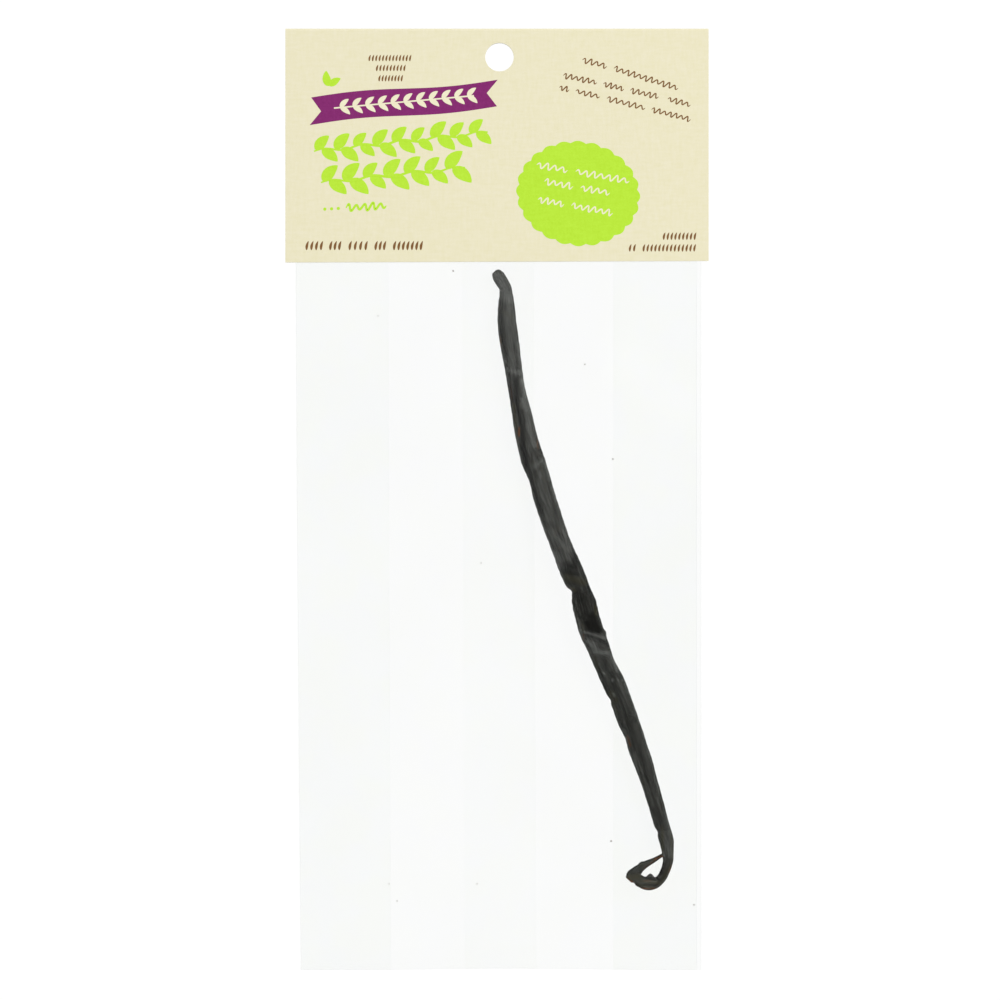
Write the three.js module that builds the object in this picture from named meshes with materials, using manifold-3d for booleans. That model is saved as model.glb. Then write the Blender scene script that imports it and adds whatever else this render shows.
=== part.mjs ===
// A retail hang pack: one cured vanilla pod in a clear gusset bag under a folded card header.
// The pack lies on its back. Its front faces +Z, its header points along +Y, and it rests
// on the plane z = 0. All lengths are millimetres.

import * as THREE from 'three';
import { mergeVertices } from 'three/addons/utils/BufferGeometryUtils.js';
import Module from 'manifold-3d';

const wasm = await Module();
wasm.setup();

// Driving dimensions of the whole pack
const packLength = 265.8;
const bagWidth = 114.3;
const cardWidth = 119.4;
const cardHeight = 65.8;

// The folded card, with a round hang hole through both panels
const cardThickness = 0.42;
const cardSkew = 0.42; // how far the lower edge runs out of square over the card's width
const holeRadius = 4.02;
const holeInset = 8.1; // from the fold down to the hole's centre
const holeOffset = 0.7; // the hole sits a little right of the middle
const holeSides = 48;
const foldSteps = 10;

// The film bag. Its mouth is flat between the card's panels, and its end is heat sealed.
const slipGap = 0.12; // free space between the card and the mouth, on each face
const mouthThickness = 0.4;
const bodyThickness = 0.8;
const sealThickness = 0.35;
const sealHeight = 5;
const sealRise = 0.9; // the sealed end is drawn in by this much near the middle
const sealMiddle = 4;
const mouthBelowHole = 3.6;
const edgeTaper = 2.1; // the left edge comes in by this much towards the sealed end
const edgeBulge = 0.3; // the right edge swells by this much half way down
const settleLength = 8; // the film comes down from the card to the surface over this length

// The pod's course seen from the front: x, y and the pod's width, from the bent stem end
// down to the hook and along the thin tail that runs back behind it
const podCourse = [
  [0.4, 64.0, 3.4],
  [2.6, 55.2, 4.0],
  [3.2, 46.5, 5.2],
  [5.4, 32.3, 4.8],
  [8.8, 15.7, 6.2],
  [12.9, 1.8, 6.0],
  [18.2, -13.4, 6.1],
  [24.5, -28.6, 6.8],
  [29.8, -44.7, 6.0],
  [35.9, -59.1, 5.8],
  [41.5, -74.4, 4.8],
  [45.8, -89.6, 4.1],
  [48.2, -99.5, 3.8],
  [45.2, -107.4, 3.5],
  [38.4, -107.0, 2.8],
  [41.0, -103.0, 2.4],
  [46.6, -100.3, 1.4],
];
const podFlatness = 0.8; // the pod's thickness over its width
const podLift = 0.3; // the film under the pod
const filmSlack = 0.25; // the film stands this far off the pod's top
const drapeReach = 10; // the film slopes down over this width on each side of the pod
const courseSamples = 180;

// Grid of the bag's front: fine near the pod and at the hook, coarse elsewhere
const sideColumns = 12;
const columnCrowding = 0.18; // share of the even spacing left next to the pod
const mouthRowStep = 17;
const fineRowStep = 1.4;
const rowStep = 3.6;
const settleRows = 10;
const hookTop = -92;
const hookBottom = -118;
const hookMiddle = 43.5;

// Places that follow from the sizes above
const cardTop = packLength / 2;
const cardBottom = cardTop - cardHeight;
const holeY = cardTop - holeInset;
const bagTop = holeY - holeRadius - mouthBelowHole;
const bagBottom = -packLength / 2;
const sealTop = bagBottom + sealHeight;
const mouthUnderside = cardThickness + slipGap;
const mouthTop = mouthUnderside + mouthThickness;
const headerThickness = mouthTop + slipGap + cardThickness;

const clamp01 = (value) => Math.min(1, Math.max(0, value));
const mix = (from, to, share) => from + (to - from) * share;
const smooth = (share) => THREE.MathUtils.smoothstep(share, 0, 1);

// Half a cosine wave: 1 in the middle and level at 0 from a distance of 1 outwards
const bell = (distance) => 0.5 + 0.5 * Math.cos(Math.PI * clamp01(Math.abs(distance)));

// Values from one number up to, but without, another, in even steps close to the one asked for
function steps(from, to, step) {
  const count = Math.max(1, Math.round(Math.abs(to - from) / step));
  return Array.from({ length: count }, (_, i) => mix(from, to, i / count));
}

function toManifold(geometry) {
  geometry.deleteAttribute('normal');
  geometry.deleteAttribute('uv');
  const merged = mergeVertices(geometry, 1e-4);
  return new wasm.Manifold(new wasm.Mesh({
    numProp: 3,
    vertProperties: new Float32Array(merged.attributes.position.array),
    triVerts: new Uint32Array(merged.index.array),
  }));
}

function fromManifold(solid) {
  const mesh = solid.getMesh();
  const geometry = new THREE.BufferGeometry();
  geometry.setAttribute('position', new THREE.BufferAttribute(new Float32Array(mesh.vertProperties), 3));
  geometry.setIndex(new THREE.BufferAttribute(new Uint32Array(mesh.triVerts), 1));
  return geometry;
}

// The card's U-shaped section, drawn in y and z and run across the pack's width
function foldedSheet() {
  const outerRadius = headerThickness / 2;
  const innerRadius = outerRadius - cardThickness;
  const foldY = cardTop - outerRadius;
  const openEnd = cardBottom - cardSkew;
  const section = new THREE.Shape();
  section.moveTo(openEnd, 0);
  section.lineTo(foldY, 0);
  section.absarc(foldY, outerRadius, outerRadius, -Math.PI / 2, Math.PI / 2, false);
  section.lineTo(openEnd, headerThickness);
  section.lineTo(openEnd, headerThickness - cardThickness);
  section.lineTo(foldY, headerThickness - cardThickness);
  section.absarc(foldY, outerRadius, innerRadius, Math.PI / 2, -Math.PI / 2, true);
  section.lineTo(openEnd, cardThickness);
  section.closePath();
  const sheet = new THREE.ExtrudeGeometry(section, {
    depth: cardWidth,
    bevelEnabled: false,
    curveSegments: foldSteps,
  });
  const turn = new THREE.Matrix4().makeBasis(
    new THREE.Vector3(0, 1, 0),
    new THREE.Vector3(0, 0, 1),
    new THREE.Vector3(1, 0, 0),
  );
  sheet.applyMatrix4(turn);
  sheet.translate(-cardWidth / 2, 0, 0);
  return sheet;
}

// The waste below the card's lower edge, which slants by the skew
function skewTrimming() {
  const outline = new THREE.Shape([
    new THREE.Vector2(-cardWidth, cardBottom - cardSkew),
    new THREE.Vector2(-cardWidth, cardBottom - cardHeight),
    new THREE.Vector2(cardWidth, cardBottom - cardHeight),
    new THREE.Vector2(cardWidth, cardBottom + cardSkew),
  ]);
  const waste = new THREE.ExtrudeGeometry(outline, { depth: headerThickness * 3, bevelEnabled: false });
  waste.translate(0, 0, -headerThickness);
  return waste;
}

function headerCard() {
  const punch = new THREE.CylinderGeometry(holeRadius, holeRadius, headerThickness * 3, holeSides);
  punch.rotateX(Math.PI / 2);
  punch.translate(holeOffset, holeY, headerThickness / 2);
  const sheet = toManifold(foldedSheet());
  const trimmed = sheet.subtract(toManifold(skewTrimming()));
  return fromManifold(trimmed.subtract(toManifold(punch)));
}

// The bag's outline
function leftEdge(y) {
  const share = clamp01((cardBottom - y) / (cardBottom - bagBottom));
  return -bagWidth / 2 + edgeTaper * share;
}

function rightEdge(y) {
  const share = clamp01((cardBottom - y) / (cardBottom - bagBottom));
  return bagWidth / 2 + edgeBulge * bell(2 * share - 1);
}

const endRise = (x) => sealRise * bell((x - sealMiddle) / (bagWidth * 0.4));

const course = new THREE.CatmullRomCurve3(podCourse.map((point) => new THREE.Vector3(...point)))
  .getSpacedPoints(courseSamples);

// How far the front film is lifted above the flat bag by the pod below it
function tentHeight(x, y) {
  const fromCard = smooth(clamp01((cardBottom - cardSkew - y) / 4));
  const fromEdge = smooth(clamp01((rightEdge(y) - x) / 6));
  let height = 0;
  for (const { x: podX, y: podY, z: podWidth } of course) {
    const crest = podLift + podFlatness * podWidth + filmSlack - bodyThickness;
    const reach = podWidth / 2 + drapeReach;
    const lift = crest * bell(Math.hypot(x - podX, y - podY) / reach) ** 0.8;
    height = Math.max(height, lift);
  }
  return height * fromCard * fromEdge;
}

function frontHeight(x, y) {
  const settled = smooth(clamp01((cardBottom - cardSkew - y) / settleLength));
  const sealed = clamp01(sealTop - y);
  const film = mix(mix(mouthTop, bodyThickness, settled), sealThickness, sealed);
  return film + tentHeight(x, y) * (1 - sealed);
}

function backHeight(y) {
  const settled = smooth(clamp01((cardBottom - cardSkew - y) / settleLength));
  return mix(mouthUnderside, 0, settled);
}

// The line that the grid's columns crowd round: the pod, then the middle of its hook
function crowdingLine(y) {
  const start = course[0];
  if (y >= start.y) return start.x;
  const body = course.findIndex((point, i) => i > 0 && point.y <= Math.max(y, hookTop));
  const below = course[body];
  const above = course[body - 1];
  const x = mix(above.x, below.x, clamp01((above.y - Math.max(y, hookTop)) / (above.y - below.y)));
  return mix(x, hookMiddle, smooth(clamp01((hookTop - y) / 8)));
}

function columnsAt(y) {
  const middle = crowdingLine(y);
  const crowd = (share) => columnCrowding * share + (1 - columnCrowding) * share ** 3;
  const columns = [];
  for (let i = -sideColumns; i <= sideColumns; i += 1) {
    const edge = i < 0 ? leftEdge(y) : rightEdge(y);
    columns.push(mix(middle, edge, crowd(Math.abs(i) / sideColumns)));
  }
  return columns;
}

function rowsOfBag() {
  const settleEnd = cardBottom - cardSkew - settleLength;
  return [
    ...steps(bagTop, cardBottom - cardSkew, mouthRowStep),
    ...steps(cardBottom - cardSkew, settleEnd, settleLength / settleRows),
    ...steps(settleEnd, hookTop, rowStep),
    ...steps(hookTop, hookBottom, fineRowStep),
    ...steps(hookBottom, sealTop, rowStep),
    sealTop,
    sealTop - 1,
    bagBottom,
  ];
}

// One closed solid out to the film: a fine grid in front, a plain back, and walls round the rim
function bag() {
  const rows = rowsOfBag();
  const lastRow = rows.length - 1;
  const lastColumn = 2 * sideColumns;
  const positions = [];
  const triangles = [];
  const addPoint = (x, y, z) => positions.push(x, y, z) / 3 - 1;

  const front = rows.map((y) => columnsAt(y).map((x) => {
    const rise = y <= sealTop ? endRise(x) : 0;
    return addPoint(x, y + rise, frontHeight(x, y));
  }));
  const back = rows.map((y, row) => {
    const isEnd = row === 0 || row === lastRow;
    const columns = columnsAt(y).filter((_, i) => isEnd || i === 0 || i === lastColumn);
    return columns.map((x) => {
      const rise = y <= sealTop ? endRise(x) : 0;
      return addPoint(x, y + rise, backHeight(y));
    });
  });

  for (let row = 0; row < lastRow; row += 1) {
    for (let i = 0; i < lastColumn; i += 1) {
      const [a, b] = [front[row][i], front[row][i + 1]];
      const [c, d] = [front[row + 1][i], front[row + 1][i + 1]];
      triangles.push(a, c, b, b, c, d);
    }
  }

  // The back is a run of strips, each fanned out where its end row has a point for every column
  for (let row = 0; row < lastRow; row += 1) {
    const upper = back[row];
    const lower = back[row + 1];
    for (let i = 0; i + 1 < upper.length; i += 1) triangles.push(upper[i], upper[i + 1], lower[0]);
    for (let i = 0; i + 1 < lower.length; i += 1) triangles.push(lower[i], upper.at(-1), lower[i + 1]);
  }

  // Walls along the two sides
  for (let row = 0; row < lastRow; row += 1) {
    triangles.push(front[row][0], back[row][0], front[row + 1][0]);
    triangles.push(front[row + 1][0], back[row][0], back[row + 1][0]);
    triangles.push(front[row].at(-1), front[row + 1].at(-1), back[row].at(-1));
    triangles.push(front[row + 1].at(-1), back[row + 1].at(-1), back[row].at(-1));
  }

  // Walls across the mouth and the sealed end
  for (let i = 0; i < lastColumn; i += 1) {
    triangles.push(front[0][i], front[0][i + 1], back[0][i]);
    triangles.push(front[0][i + 1], back[0][i + 1], back[0][i]);
    triangles.push(front[lastRow][i], back[lastRow][i], front[lastRow][i + 1]);
    triangles.push(front[lastRow][i + 1], back[lastRow][i], back[lastRow][i + 1]);
  }

  const geometry = new THREE.BufferGeometry();
  geometry.setAttribute('position', new THREE.Float32BufferAttribute(positions, 3));
  geometry.setIndex(triangles);
  return geometry;
}

function part(name, geometry, colour, roughness) {
  const flatShaded = geometry.index ? geometry.toNonIndexed() : geometry;
  flatShaded.computeVertexNormals();
  const material = new THREE.MeshStandardMaterial({ color: colour, roughness, metalness: 0 });
  const mesh = new THREE.Mesh(flatShaded, material);
  mesh.name = name;
  return mesh;
}

const pack = new THREE.Group();
pack.add(part('header_card', headerCard(), 0xede6c6, 0.85));
pack.add(part('bag', bag(), 0xf4f6f6, 0.2));

export default pack;
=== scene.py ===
# A vanilla pod in its hang pack: clear gusset bag, folded card header, one cured pod.
# Sizes are millimetres unless a name says otherwise, and are turned into metres by MM.

import math

import bpy
import numpy as np
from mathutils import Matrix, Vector


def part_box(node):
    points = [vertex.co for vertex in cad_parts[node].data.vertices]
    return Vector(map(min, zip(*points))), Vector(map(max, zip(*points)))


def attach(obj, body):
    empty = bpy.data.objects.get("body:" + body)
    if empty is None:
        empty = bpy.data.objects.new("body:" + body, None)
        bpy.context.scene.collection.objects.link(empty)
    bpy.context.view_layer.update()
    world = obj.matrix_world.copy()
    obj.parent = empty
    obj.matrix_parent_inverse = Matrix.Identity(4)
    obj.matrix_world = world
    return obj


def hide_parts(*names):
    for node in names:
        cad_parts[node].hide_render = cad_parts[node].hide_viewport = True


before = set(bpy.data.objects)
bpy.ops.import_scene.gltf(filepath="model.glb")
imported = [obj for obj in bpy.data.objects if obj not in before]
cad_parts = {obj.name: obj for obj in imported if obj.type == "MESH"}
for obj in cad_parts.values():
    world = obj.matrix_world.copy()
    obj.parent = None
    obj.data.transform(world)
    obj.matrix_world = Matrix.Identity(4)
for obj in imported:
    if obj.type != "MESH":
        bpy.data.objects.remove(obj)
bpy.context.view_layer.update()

MM = 0.001

# The photograph: millimetres to a pixel, and the pixel of the frame's zero
PX = 0.28222
ZERO_PX = 497.0
ZERO_PY = 499.5

# The pack, from the frame
card_low, card_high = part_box("header_card")
bag_low, bag_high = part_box("bag")
CARD_LEFT, CARD_RIGHT = card_low[0] / MM, card_high[0] / MM
CARD_TOP = card_high[1] / MM
CARD_DEPTH = card_high[2] / MM
PACK_END = bag_low[1] / MM
MOUTH_END = bag_high[1] / MM

# The folded card
CARD_HEIGHT = 65.8
CARD_THICKNESS = 0.42
CARD_SKEW = 0.42
CARD_BOTTOM = CARD_TOP - CARD_HEIGHT
HOLE_RADIUS = 4.02
HOLE_X = 0.7
HOLE_Y = CARD_TOP - 8.1

# The film bag
BAG_LEFT = -57.0
BAG_RIGHT = 57.75
FRONT_INSET_LEFT = 0.3
FRONT_INSET_RIGHT = 1.4
FILM = 0.03
GUSSET = 24.9
GUSSET_LEFT = 31.0
SEAM_HALF = 10.15
SEAL_HEIGHT = 5.0
SEAL_TOP = PACK_END + SEAL_HEIGHT
SEAL_RISE = 0.4
SEAL_MIDDLE = 4.0
EDGE_TAPER = 1.42
SETTLE_LENGTH = 8.0

# The pod, as the frame's bag leaves room for it
POD_LIFT = 0.3
POD_FLATNESS = 0.8
FILM_SLACK = 0.25
DRAPE_REACH = 10.0

# The pod's course. It starts at the bent stem end and just lies there: x, y and width
POD_LYING = [
    (-0.2, 64.2, 3.3), (0.6, 62.8, 3.5), (1.5, 61.3, 3.5), (2.3, 59.9, 3.4), (2.6, 57.7, 3.7),
    (2.65, 55.2, 4.4), (2.8, 50.1, 5.1), (3.4, 45.0, 5.3), (4.2, 39.9, 5.0), (5.8, 29.8, 4.7),
    (6.9, 24.7, 5.3), (8.4, 17.1, 6.0), (10.6, 9.5, 6.4), (11.6, 6.9, 6.0), (13.35, 0.4, 6.1),
    (15.4, -5.8, 6.0), (18.2, -13.4, 5.8), (20.3, -18.5, 6.3), (22.5, -23.6, 6.1), (23.8, -26.1, 5.5),
    (24.5, -29.0, 6.7), (25.5, -33.4, 6.8), (26.6, -36.8, 6.9), (28.5, -41.3, 6.4), (30.5, -46.4, 5.8),
    (33.0, -51.5, 6.2), (35.1, -56.6, 5.8), (36.8, -61.7, 5.9), (38.8, -66.7, 5.3), (39.95, -70.7, 5.4),
    (41.2, -74.1, 5.2), (42.3, -77.5, 4.8),
]
# From there it rises into the hook and ends in the tail behind it:
# x, y, height of its middle, width, and thickness over width
POD_HOOK = [
    (45.2, -87.1, 2.0, 4.3, 0.76), (46.6, -92.1, 2.1, 4.2, 0.7), (47.8, -96.1, 2.2, 4.1, 0.65),
    (48.2, -99.5, 2.25, 3.3, 0.65), (48.2, -102.3, 2.2, 2.8, 0.65), (47.5, -104.6, 2.1, 2.6, 0.65),
    (46.2, -107.0, 2.0, 2.6, 0.65), (44.6, -108.3, 2.0, 2.9, 0.65), (42.6, -108.6, 2.0, 3.2, 0.62),
    (40.1, -107.7, 2.0, 3.0, 0.58), (38.5, -106.7, 1.8, 2.9, 0.5), (37.9, -105.9, 1.4, 2.8, 0.45),
    (38.6, -105.2, 1.0, 2.5, 0.42), (39.8, -104.4, 0.85, 2.4, 0.4), (41.8, -103.0, 0.8, 1.95, 0.42),
    (43.2, -102.3, 0.7, 1.55, 0.5), (44.6, -101.6, 0.65, 1.25, 0.5), (46.0, -100.75, 0.6, 1.0, 0.5),
    (48.2, -99.6, 0.6, 0.8, 0.5),
]


# Small helpers

def clamp01(value):
    return np.clip(value, 0.0, 1.0)


def smooth(share):
    share = clamp01(share)
    return share * share * (3.0 - 2.0 * share)


def mix(start, end, share):
    return start + (end - start) * share


def bell(distance):
    """Half a cosine wave: 1 in the middle, level at 0 from a distance of 1 outwards."""
    return 0.5 + 0.5 * np.cos(np.pi * clamp01(np.abs(distance)))


def deselect_all():
    if bpy.context.object and bpy.context.object.mode != "OBJECT":
        bpy.ops.object.mode_set(mode="OBJECT")
    bpy.ops.object.select_all(action="DESELECT")


def pick(piece):
    deselect_all()
    bpy.context.view_layer.objects.active = piece
    piece.select_set(True)


def edit(piece, step):
    """Does one step in edit mode on the whole of a piece."""
    pick(piece)
    bpy.ops.object.mode_set(mode="EDIT")
    bpy.ops.mesh.select_all(action="SELECT")
    step()
    bpy.ops.object.mode_set(mode="OBJECT")


def merge_points():
    bpy.ops.mesh.remove_doubles(threshold=1e-7)


def apply_modifiers(piece):
    pick(piece)
    for modifier in list(piece.modifiers):
        bpy.ops.object.modifier_apply(modifier=modifier.name)


def join(pieces, name):
    deselect_all()
    for piece in pieces:
        piece.select_set(True)
    bpy.context.view_layer.objects.active = pieces[0]
    if len(pieces) > 1:
        bpy.ops.object.join()
    whole = bpy.context.object
    whole.name = name
    whole.data.name = name
    return whole


def shaped_grid(name, columns, rows, place):
    """A grid primitive whose points are moved by place(u, v), which gives millimetres."""
    deselect_all()
    bpy.ops.mesh.primitive_grid_add(x_subdivisions=columns, y_subdivisions=rows, size=1.0)
    piece = bpy.context.object
    piece.name = name
    piece.data.name = name
    flat = points_mm(piece) * MM
    move_points(piece, place(flat[:, 0] + 0.5, flat[:, 1] + 0.5))
    return piece


def paint(piece, name, values):
    """Stores one number for each point of a piece, for its material to read."""
    attribute = piece.data.attributes.new(name, "FLOAT", "POINT")
    attribute.data.foreach_set("value", np.asarray(values, dtype=np.float32))


def points_mm(piece):
    flat = np.empty(len(piece.data.vertices) * 3)
    piece.data.vertices.foreach_get("co", flat)
    return flat.reshape(-1, 3) / MM


def move_points(piece, points):
    """Puts a piece's points where given, in millimetres."""
    piece.data.vertices.foreach_set("co", (points * MM).ravel())
    piece.data.update()


def dress(piece, material, node):
    piece.data.materials.clear()
    piece.data.materials.append(material)
    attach(piece, "root")
    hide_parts(node)


# Material helpers

class Nodes:
    """Builds a node material one plain call at a time."""

    def __init__(self, name):
        self.material = bpy.data.materials.new(name)
        self.material.use_nodes = True
        self.tree = self.material.node_tree
        self.tree.nodes.clear()
        self.output = self.add("ShaderNodeOutputMaterial")

    def add(self, kind, **settings):
        node = self.tree.nodes.new(kind)
        for key, value in settings.items():
            setattr(node, key, value)
        return node

    def link(self, source, target):
        self.tree.links.new(source, target)

    def set(self, socket, value):
        if isinstance(value, bpy.types.NodeSocket):
            self.link(value, socket)
        else:
            socket.default_value = value

    def maths(self, operation, first, second=0.0, clamp=False):
        node = self.add("ShaderNodeMath", operation=operation, use_clamp=clamp)
        self.set(node.inputs[0], first)
        self.set(node.inputs[1], second)
        return node.outputs[0]

    def spread(self, value, low, high, to_low=0.0, to_high=1.0):
        node = self.add("ShaderNodeMapRange")
        self.set(node.inputs["Value"], value)
        for key, number in ("From Min", low), ("From Max", high), ("To Min", to_low), ("To Max", to_high):
            node.inputs[key].default_value = number
        return node.outputs["Result"]

    def blend_colours(self, share, first, second):
        node = self.add("ShaderNodeMix", data_type="RGBA")
        self.set(node.inputs["Factor"], share)
        self.set(node.inputs["A"], first)
        self.set(node.inputs["B"], second)
        return node.outputs["Result"]

    def place(self, scale=(1.0, 1.0, 1.0), source="Object"):
        """Object or UV coordinates, stretched by scale."""
        coordinates = self.add("ShaderNodeTexCoord")
        mapping = self.add("ShaderNodeMapping")
        mapping.inputs["Scale"].default_value = scale
        self.link(coordinates.outputs[source], mapping.inputs["Vector"])
        return mapping.outputs["Vector"]

    def cloud(self, vector, scale, detail=4.0, roughness=0.5):
        node = self.add("ShaderNodeTexNoise")
        self.link(vector, node.inputs["Vector"])
        for key, number in ("Scale", scale), ("Detail", detail), ("Roughness", roughness):
            node.inputs[key].default_value = number
        return node.outputs["Fac"]

    def attribute(self, name):
        return self.add("ShaderNodeAttribute", attribute_name=name).outputs["Fac"]

    def bump(self, height, strength, distance):
        node = self.add("ShaderNodeBump")
        node.inputs["Strength"].default_value = strength
        node.inputs["Distance"].default_value = distance
        self.link(height, node.inputs["Height"])
        return node.outputs["Normal"]

    def surface(self, colour, roughness, gloss=0.5, normal=None):
        """Ends the material in a plain opaque surface and returns its shader."""
        shader = self.add("ShaderNodeBsdfPrincipled")
        self.set(shader.inputs["Base Color"], colour)
        self.set(shader.inputs["Roughness"], roughness)
        shader.inputs["Specular IOR Level"].default_value = gloss
        if normal:
            self.link(normal, shader.inputs["Normal"])
        self.link(shader.outputs[0], self.output.inputs["Surface"])
        return shader


# The pod

def pod_stations():
    """x, y, height of the middle, width, and thickness over width, all along the pod."""
    lying = [(x, y, POD_LIFT + width * POD_FLATNESS / 2, width, POD_FLATNESS) for x, y, width in POD_LYING]
    return np.array(lying + POD_HOOK)


def course_through(points, count):
    """A smooth course through the points, sampled at even steps along its length."""
    chords = np.linalg.norm(np.diff(points[:, :3], axis=0), axis=1)
    marks = np.concatenate([[0.0], np.cumsum(chords)])
    slopes = np.gradient(points, marks, axis=0)

    def at(where):
        i = np.clip(np.searchsorted(marks, where) - 1, 0, len(marks) - 2)
        span = (marks[i + 1] - marks[i])[:, None]
        t = ((where - marks[i]) / span[:, 0])[:, None]
        return ((2 * t**3 - 3 * t**2 + 1) * points[i] + (t**3 - 2 * t**2 + t) * span * slopes[i]
                + (3 * t**2 - 2 * t**3) * points[i + 1] + (t**3 - t**2) * span * slopes[i + 1])

    fine = at(np.linspace(0.0, marks[-1], count * 8))
    steps = np.linalg.norm(np.diff(fine[:, :3], axis=0), axis=1)
    lengths = np.concatenate([[0.0], np.cumsum(steps)])
    even = np.linspace(0.0, lengths[-1], count)
    course = np.stack([np.interp(even, lengths, fine[:, k]) for k in range(fine.shape[1])], axis=1)
    return course, even


POD_RINGS = 800
POD_SIDES = 80
POD_PLUMP = 1.03
POD_COURSE, POD_LENGTHS = course_through(pod_stations(), POD_RINGS)
POD_LENGTH = POD_LENGTHS[-1]


def pod_wrinkles(around, along):
    """Relief of the pod's skin as a share of its radius: long folds that come and go."""
    draw = np.random.default_rng(11)
    relief = 0.04 * np.cos(3 * (around + 0.5 * np.sin(along / 31.0)) + 0.8)
    relief += 0.025 * np.cos(5 * (around + 0.6 * np.sin(along / 23.0 + 1.0)))
    relief += 0.010 * np.sin(9 * around + 1.7 * np.sin(along / 3.1) + along * 0.9)
    relief += 0.008 * np.sin(13 * around - 1.3 * np.sin(along / 2.3 + 2.0) + along * 1.7)
    ripples = np.sin(along * 2.9 + 2.0 * np.sin(2 * around + along * 0.31))
    relief += 0.012 * ripples * np.sin(along * 0.21 + 3 * around)
    for _ in range(54):
        centre = draw.uniform(0.0, 2 * np.pi)
        drift = draw.uniform(-0.5, 0.5)
        middle = draw.uniform(0.0, POD_LENGTH)
        reach = draw.uniform(12.0, 46.0)
        width = draw.uniform(0.10, 0.26)
        depth = draw.uniform(0.05, 0.13)
        sway = draw.uniform(0.0, 6.28)
        turn = around - centre - drift * (along - middle) / reach - 0.12 * np.sin(along / 7.0 + sway)
        turn = (turn + np.pi) % (2 * np.pi) - np.pi
        relief -= depth * np.exp(-(turn / width) ** 2) * bell((along - middle) / reach)
    return relief


def pod_place(u, v):
    around = 2 * np.pi * u - np.pi / 2
    ring = np.rint(v * (POD_RINGS - 1)).astype(int)
    x, y, z, width, flat = POD_COURSE[ring].T
    along = POD_LENGTHS[ring]
    headings = np.gradient(POD_COURSE[:, :3], axis=0)
    headings /= np.linalg.norm(headings, axis=1)[:, None]
    heading = headings[ring]
    side = np.cross(heading, [0.0, 0.0, 1.0])
    side /= np.linalg.norm(side, axis=1)[:, None]
    up = np.cross(side, heading)

    # Both ends close in a blunt round
    end_room = np.minimum(along / 1.5, (POD_LENGTH - along) / 0.8)
    closing = np.sqrt(clamp01(1.0 - (1.0 - clamp01(end_room)) ** 2.4))
    boxy = 2.0 / 2.35
    across = np.sign(np.cos(around)) * np.abs(np.cos(around)) ** boxy
    rising = np.sign(np.sin(around)) * np.abs(np.sin(around)) ** boxy
    relief = 1.0 + pod_wrinkles(around, along)
    half = width / 2 * POD_PLUMP * closing * relief
    place = np.stack([x, y, z], axis=1)
    place += side * (half * across)[:, None]
    place += up * (half * flat * rising)[:, None]
    return push(place, POD_PUSHES)


# Places where the pod's outline is pushed in or out: (x, y), reach and push
POD_PUSHES = [
    (43.2, -107.3, 1.9, 0.05, 1.6), (41.2, -106.8, 1.3, 0.0, 0.35), (40.7, -102.7, 1.1, -0.1, 0.3),
    (36.9, -106.3, 1.2, -0.3, -0.2), (38.6, -108.3, 0.9, 0.2, 0.5), (39.0, -110.0, 1.0, 0.2, 0.35),
    (40.1, -105.7, 1.4, 0.6, 0.15), (0.1, 64.4, 1.6, -0.1, 0.6), (-1.0, 63.7, 1.3, -0.4, 0.15),
    (20.4, -25.9, 1.5, 0.5, 0.1), (21.1, -28.1, 2.2, -0.25, 0.0), (30.3, -37.4, 1.3, 0.35, 0.05),
    (31.6, -56.6, 1.4, 0.35, 0.1), (45.0, -93.6, 1.7, 0.45, 0.0),
]


def push(points, pushes):
    for x, y, reach, push_x, push_y in pushes:
        pull = bell(np.hypot(points[:, 0] - x, points[:, 1] - y) / reach)
        points[:, 0] += push_x * pull
        points[:, 1] += push_y * pull
    return points


def make_pod():
    pod = shaped_grid("vanilla_pod", POD_SIDES, POD_RINGS - 1, pod_place)
    edit(pod, merge_points)
    edit(pod, bpy.ops.mesh.normals_make_consistent)
    bpy.ops.object.shade_smooth()
    paint_pod(pod)
    return pod
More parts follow.
